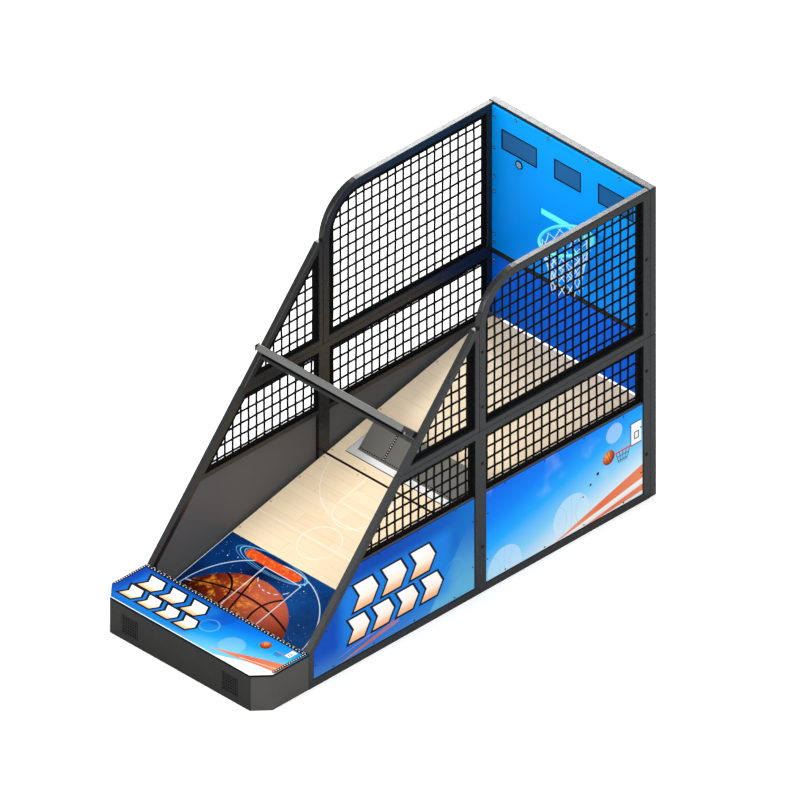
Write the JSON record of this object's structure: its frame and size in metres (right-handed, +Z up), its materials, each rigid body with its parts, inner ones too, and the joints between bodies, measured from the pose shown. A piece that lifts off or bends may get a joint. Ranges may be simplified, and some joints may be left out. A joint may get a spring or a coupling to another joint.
{
  "type": "basketball hoop machine",
  "caption": "Free-standing basketball throwing machine: netted tube cage, sloping ball ramp with a gate flap, backboard with a sliding hoop, front speaker console.",
  "frame": {"origin": "on the floor, under the middle of the machine", "axes": "+X to the player's right, +Y from the player to the backboard, +Z up"},
  "size_m": [1, 2.45, 1.63],
  "materials": {
    "black_steel": "satin black powder coat",
    "charcoal_sheet": "satin charcoal powder coat",
    "zinc_steel": "zinc plate",
    "printed_blue": "printed and laminated, satin gloss",
    "board_blue": "satin gloss",
    "black_net": "knotted polyester net",
    "display_glass": "dark smoked window",
    "cyan_enamel": "gloss enamel",
    "white_net": "braided nylon",
    "maple_print": "satin lacquer",
    "grey_sheet": "satin grey powder coat",
    "white_sheet": "satin white powder coat"
  },
  "bodies": {
    "cabinet": {"back_lower_frame": "black_steel", "back_upper_frame": "black_steel", "backboard_lower": "board_blue", "backboard_upper": "board_blue", "console_hinge": "zinc_steel", "console_shell": "charcoal_sheet", "control_box": "zinc_steel", "cross_member_front": "black_steel", "cross_member_middle": "black_steel", "cross_member_rear": "black_steel", "cross_tie": "black_steel", "display_centre": "display_glass", "display_left": "display_glass", "display_right": "display_glass", "front_lower_frame_left": "black_steel", "front_lower_frame_right": "black_steel", "front_lower_net_left": "black_net", "front_lower_net_right": "black_net", "front_side_panel_left": "printed_blue", "front_side_panel_right": "printed_blue", "front_upper_frame_left": "black_steel", "front_upper_frame_right": "black_steel", "front_upper_net_left": "black_net", "front_upper_net_right": "black_net", "gate_frame": "white_sheet", "guide_rail_lower": "zinc_steel", "guide_rail_upper": "zinc_steel", "hand_bar": "black_steel", "hand_bar_socket": "charcoal_sheet", "indicator_lamp": "display_glass", "ramp_front_board": "printed_blue", "ramp_ledger_left": "black_steel", "ramp_ledger_right": "black_steel", "ramp_middle_board": "maple_print", "ramp_rear_board": "maple_print", "rear_lower_frame_left": "black_steel", "rear_lower_frame_right": "black_steel", "rear_lower_net_left": "black_net", "rear_lower_net_right": "black_net", "rear_side_panel_left": "printed_blue", "rear_side_panel_right": "printed_blue", "rear_upper_frame_left": "black_steel", "rear_upper_frame_right": "black_steel", "rear_upper_net_left": "black_net", "rear_upper_net_right": "black_net", "speaker_grille_left": "black_steel", "speaker_grille_right": "black_steel", "speaker_left": "charcoal_sheet", "speaker_right": "charcoal_sheet"},
    "hoop_carriage_body": {"hoop_ring": "cyan_enamel", "hoop_bracket": "cyan_enamel", "hoop_net": "white_net", "slot_shield": "cyan_enamel", "hoop_carriage": "zinc_steel", "carriage_keeper": "zinc_steel"},
    "ball_gate_body": {"ball_gate": "grey_sheet"},
    "console_lid_body": {"console_lid": "printed_blue"}
  },
  "joints": [
    {"name": "hoop_slide", "type": "slide", "parent": "cabinet", "child": "hoop_carriage_body", "axis": [1, 0, 0], "range_m": [-0.2514, 0]},
    {"name": "gate_hinge", "type": "hinge", "parent": "cabinet", "child": "ball_gate_body", "pos_m": [0, 0.24513, 0.29421], "axis": [1, 0, 0], "range_deg": [-32, 0]},
    {"name": "lid_hinge", "type": "hinge", "parent": "cabinet", "child": "console_lid_body", "pos_m": [0, -0.9283, 0.187], "axis": [-1, 0, 0], "range_deg": [0, 85]}
  ]
}
